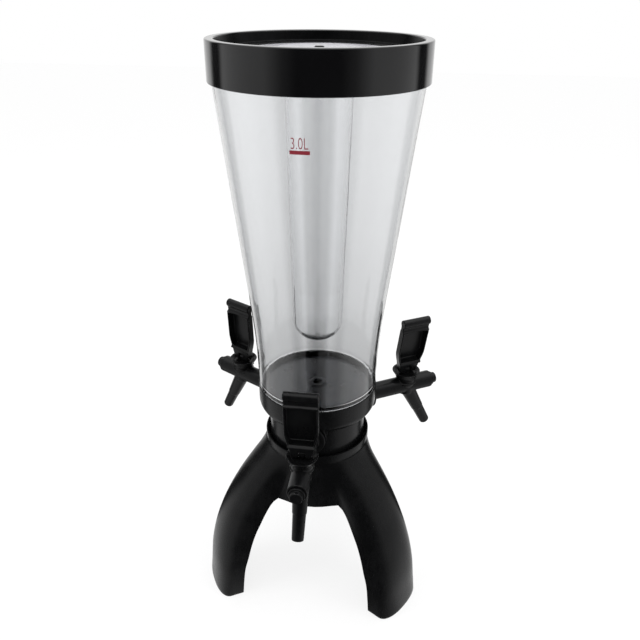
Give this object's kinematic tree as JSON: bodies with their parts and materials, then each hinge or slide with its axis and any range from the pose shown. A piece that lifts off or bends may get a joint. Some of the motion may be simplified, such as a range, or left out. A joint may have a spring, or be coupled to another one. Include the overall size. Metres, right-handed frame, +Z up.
{
  "type": "beer tower dispenser",
  "caption": "Table-top drink tower: clear tapered reservoir with ice tube over a black base with lever taps, turning in a three-legged stand.",
  "frame": {"origin": "on the floor under the middle of the footprint; the tower's axis stands 8.19 mm behind it, at x 0, y 0.00819 m", "axes": "+Z up along the tower, -Y the way the front tap points, +X to the right seen from the front"},
  "size_m": [0.2478, 0.264, 0.558],
  "materials": {
    "satin_black": "satin moulded black plastic",
    "tap_black": "satin moulded black plastic, a little finer",
    "gloss_black": "polished black plastic",
    "clear_plastic": "clear moulded plastic",
    "floor_grey": "smooth dark grey plastic",
    "black_rubber": "dull black rubber",
    "nylon": "natural nylon",
    "steel": "bright steel wire and pins"
  },
  "bodies": {
    "stand": {"tripod_stand": "satin_black", "foot_pad_1": "black_rubber", "foot_pad_2": "black_rubber", "foot_pad_3": "black_rubber"},
    "neck_ring": {"centring_ring": "black_rubber"},
    "tower": {"base_cup": "satin_black", "floor_plate": "floor_grey", "floor_seal": "black_rubber", "reservoir": "clear_plastic", "tap_body_front": "tap_black", "tap_body_right": "tap_black", "tap_body_left": "tap_black", "end_plug_front": "tap_black", "end_plug_right": "tap_black", "end_plug_left": "tap_black", "tap_seal_front": "black_rubber", "tap_seal_right": "black_rubber", "tap_seal_left": "black_rubber", "lock_nut_front": "nylon", "lock_nut_right": "nylon", "lock_nut_left": "nylon"},
    "cover": {"top_ring": "gloss_black", "rim_seal": "black_rubber"},
    "ice_tube": {"ice_tube": "clear_plastic"},
    "tube_lid": {"tube_lid": "clear_plastic", "lid_knob": "satin_black"},
    "bonnet_front": {"bonnet_front": "tap_black"},
    "plunger_front": {"plunger_front": "tap_black", "plunger_seal_front": "black_rubber", "spring_front": "steel"},
    "lever_front": {"lever_front": "tap_black", "lever_pin_front": "steel"},
    "bonnet_right": {"bonnet_right": "tap_black"},
    "plunger_right": {"plunger_right": "tap_black", "plunger_seal_right": "black_rubber", "spring_right": "steel"},
    "lever_right": {"lever_right": "tap_black", "lever_pin_right": "steel"},
    "bonnet_left": {"bonnet_left": "tap_black"},
    "plunger_left": {"plunger_left": "tap_black", "plunger_seal_left": "black_rubber", "spring_left": "steel"},
    "lever_left": {"lever_left": "tap_black", "lever_pin_left": "steel"}
  },
  "joints": [
    {"name": "tower_lift", "type": "slide", "parent": "stand", "child": "neck_ring", "axis": [0, 0, 1], "range_m": [0, 0.06]},
    {"name": "tower_turn", "type": "hinge", "parent": "neck_ring", "child": "tower", "pos_m": [0, 0.00819, 0.165], "axis": [0, 0, 1], "continuous": true},
    {"name": "cover_lift", "type": "slide", "parent": "tower", "child": "cover", "axis": [0, 0, 1], "range_m": [0, 0.05]},
    {"name": "ice_tube_lift", "type": "slide", "parent": "cover", "child": "ice_tube", "axis": [0, 0, 1], "range_m": [0, 0.28]},
    {"name": "lid_lift", "type": "slide", "parent": "ice_tube", "child": "tube_lid", "axis": [0, 0, 1], "range_m": [0, 0.05]},
    {"name": "bonnet_turn_front", "type": "hinge", "parent": "tower", "child": "bonnet_front", "pos_m": [0, -0.09531, 0.218], "axis": [0, 0, 1], "range_deg": [-90, 90]},
    {"name": "plunger_lift_front", "type": "slide", "parent": "bonnet_front", "child": "plunger_front", "axis": [0, 0, 1], "range_m": [0, 0.0031], "deforming": ["spring_front"]},
    {"name": "lever_tilt_front", "type": "hinge", "parent": "plunger_front", "child": "lever_front", "pos_m": [0, -0.09531, 0.228], "axis": [1, 0, 0], "range_deg": [0, 40], "stiffness_Nm_per_rad": 0.3, "springref_deg": -11.46},
    {"name": "bonnet_turn_right", "type": "hinge", "parent": "tower", "child": "bonnet_right", "pos_m": [0.08963, 0.05994, 0.218], "axis": [0, 0, 1], "range_deg": [0, 180]},
    {"name": "plunger_lift_right", "type": "slide", "parent": "bonnet_right", "child": "plunger_right", "axis": [0, 0, 1], "range_m": [0, 0.0031], "deforming": ["spring_right"]},
    {"name": "lever_tilt_right", "type": "hinge", "parent": "plunger_right", "child": "lever_right", "pos_m": [0.08963, 0.05994, 0.228], "axis": [0.866, 0.5, 0], "range_deg": [0, 40], "stiffness_Nm_per_rad": 0.3, "springref_deg": -11.46},
    {"name": "bonnet_turn_left", "type": "hinge", "parent": "tower", "child": "bonnet_left", "pos_m": [-0.08963, 0.05994, 0.218], "axis": [0, 0, 1], "range_deg": [-180, 0]},
    {"name": "plunger_lift_left", "type": "slide", "parent": "bonnet_left", "child": "plunger_left", "axis": [0, 0, 1], "range_m": [0, 0.0031], "deforming": ["spring_left"]},
    {"name": "lever_tilt_left", "type": "hinge", "parent": "plunger_left", "child": "lever_left", "pos_m": [-0.08963, 0.05994, 0.228], "axis": [0.866, -0.5, 0], "range_deg": [0, 40], "stiffness_Nm_per_rad": 0.3, "springref_deg": -11.46}
  ],
  "couplings": [
    {"joint": "plunger_lift_front", "follows": "lever_tilt_front", "m_per_rad": 0.0043},
    {"joint": "plunger_lift_right", "follows": "lever_tilt_right", "m_per_rad": 0.0043},
    {"joint": "plunger_lift_left", "follows": "lever_tilt_left", "m_per_rad": 0.0043}
  ]
}
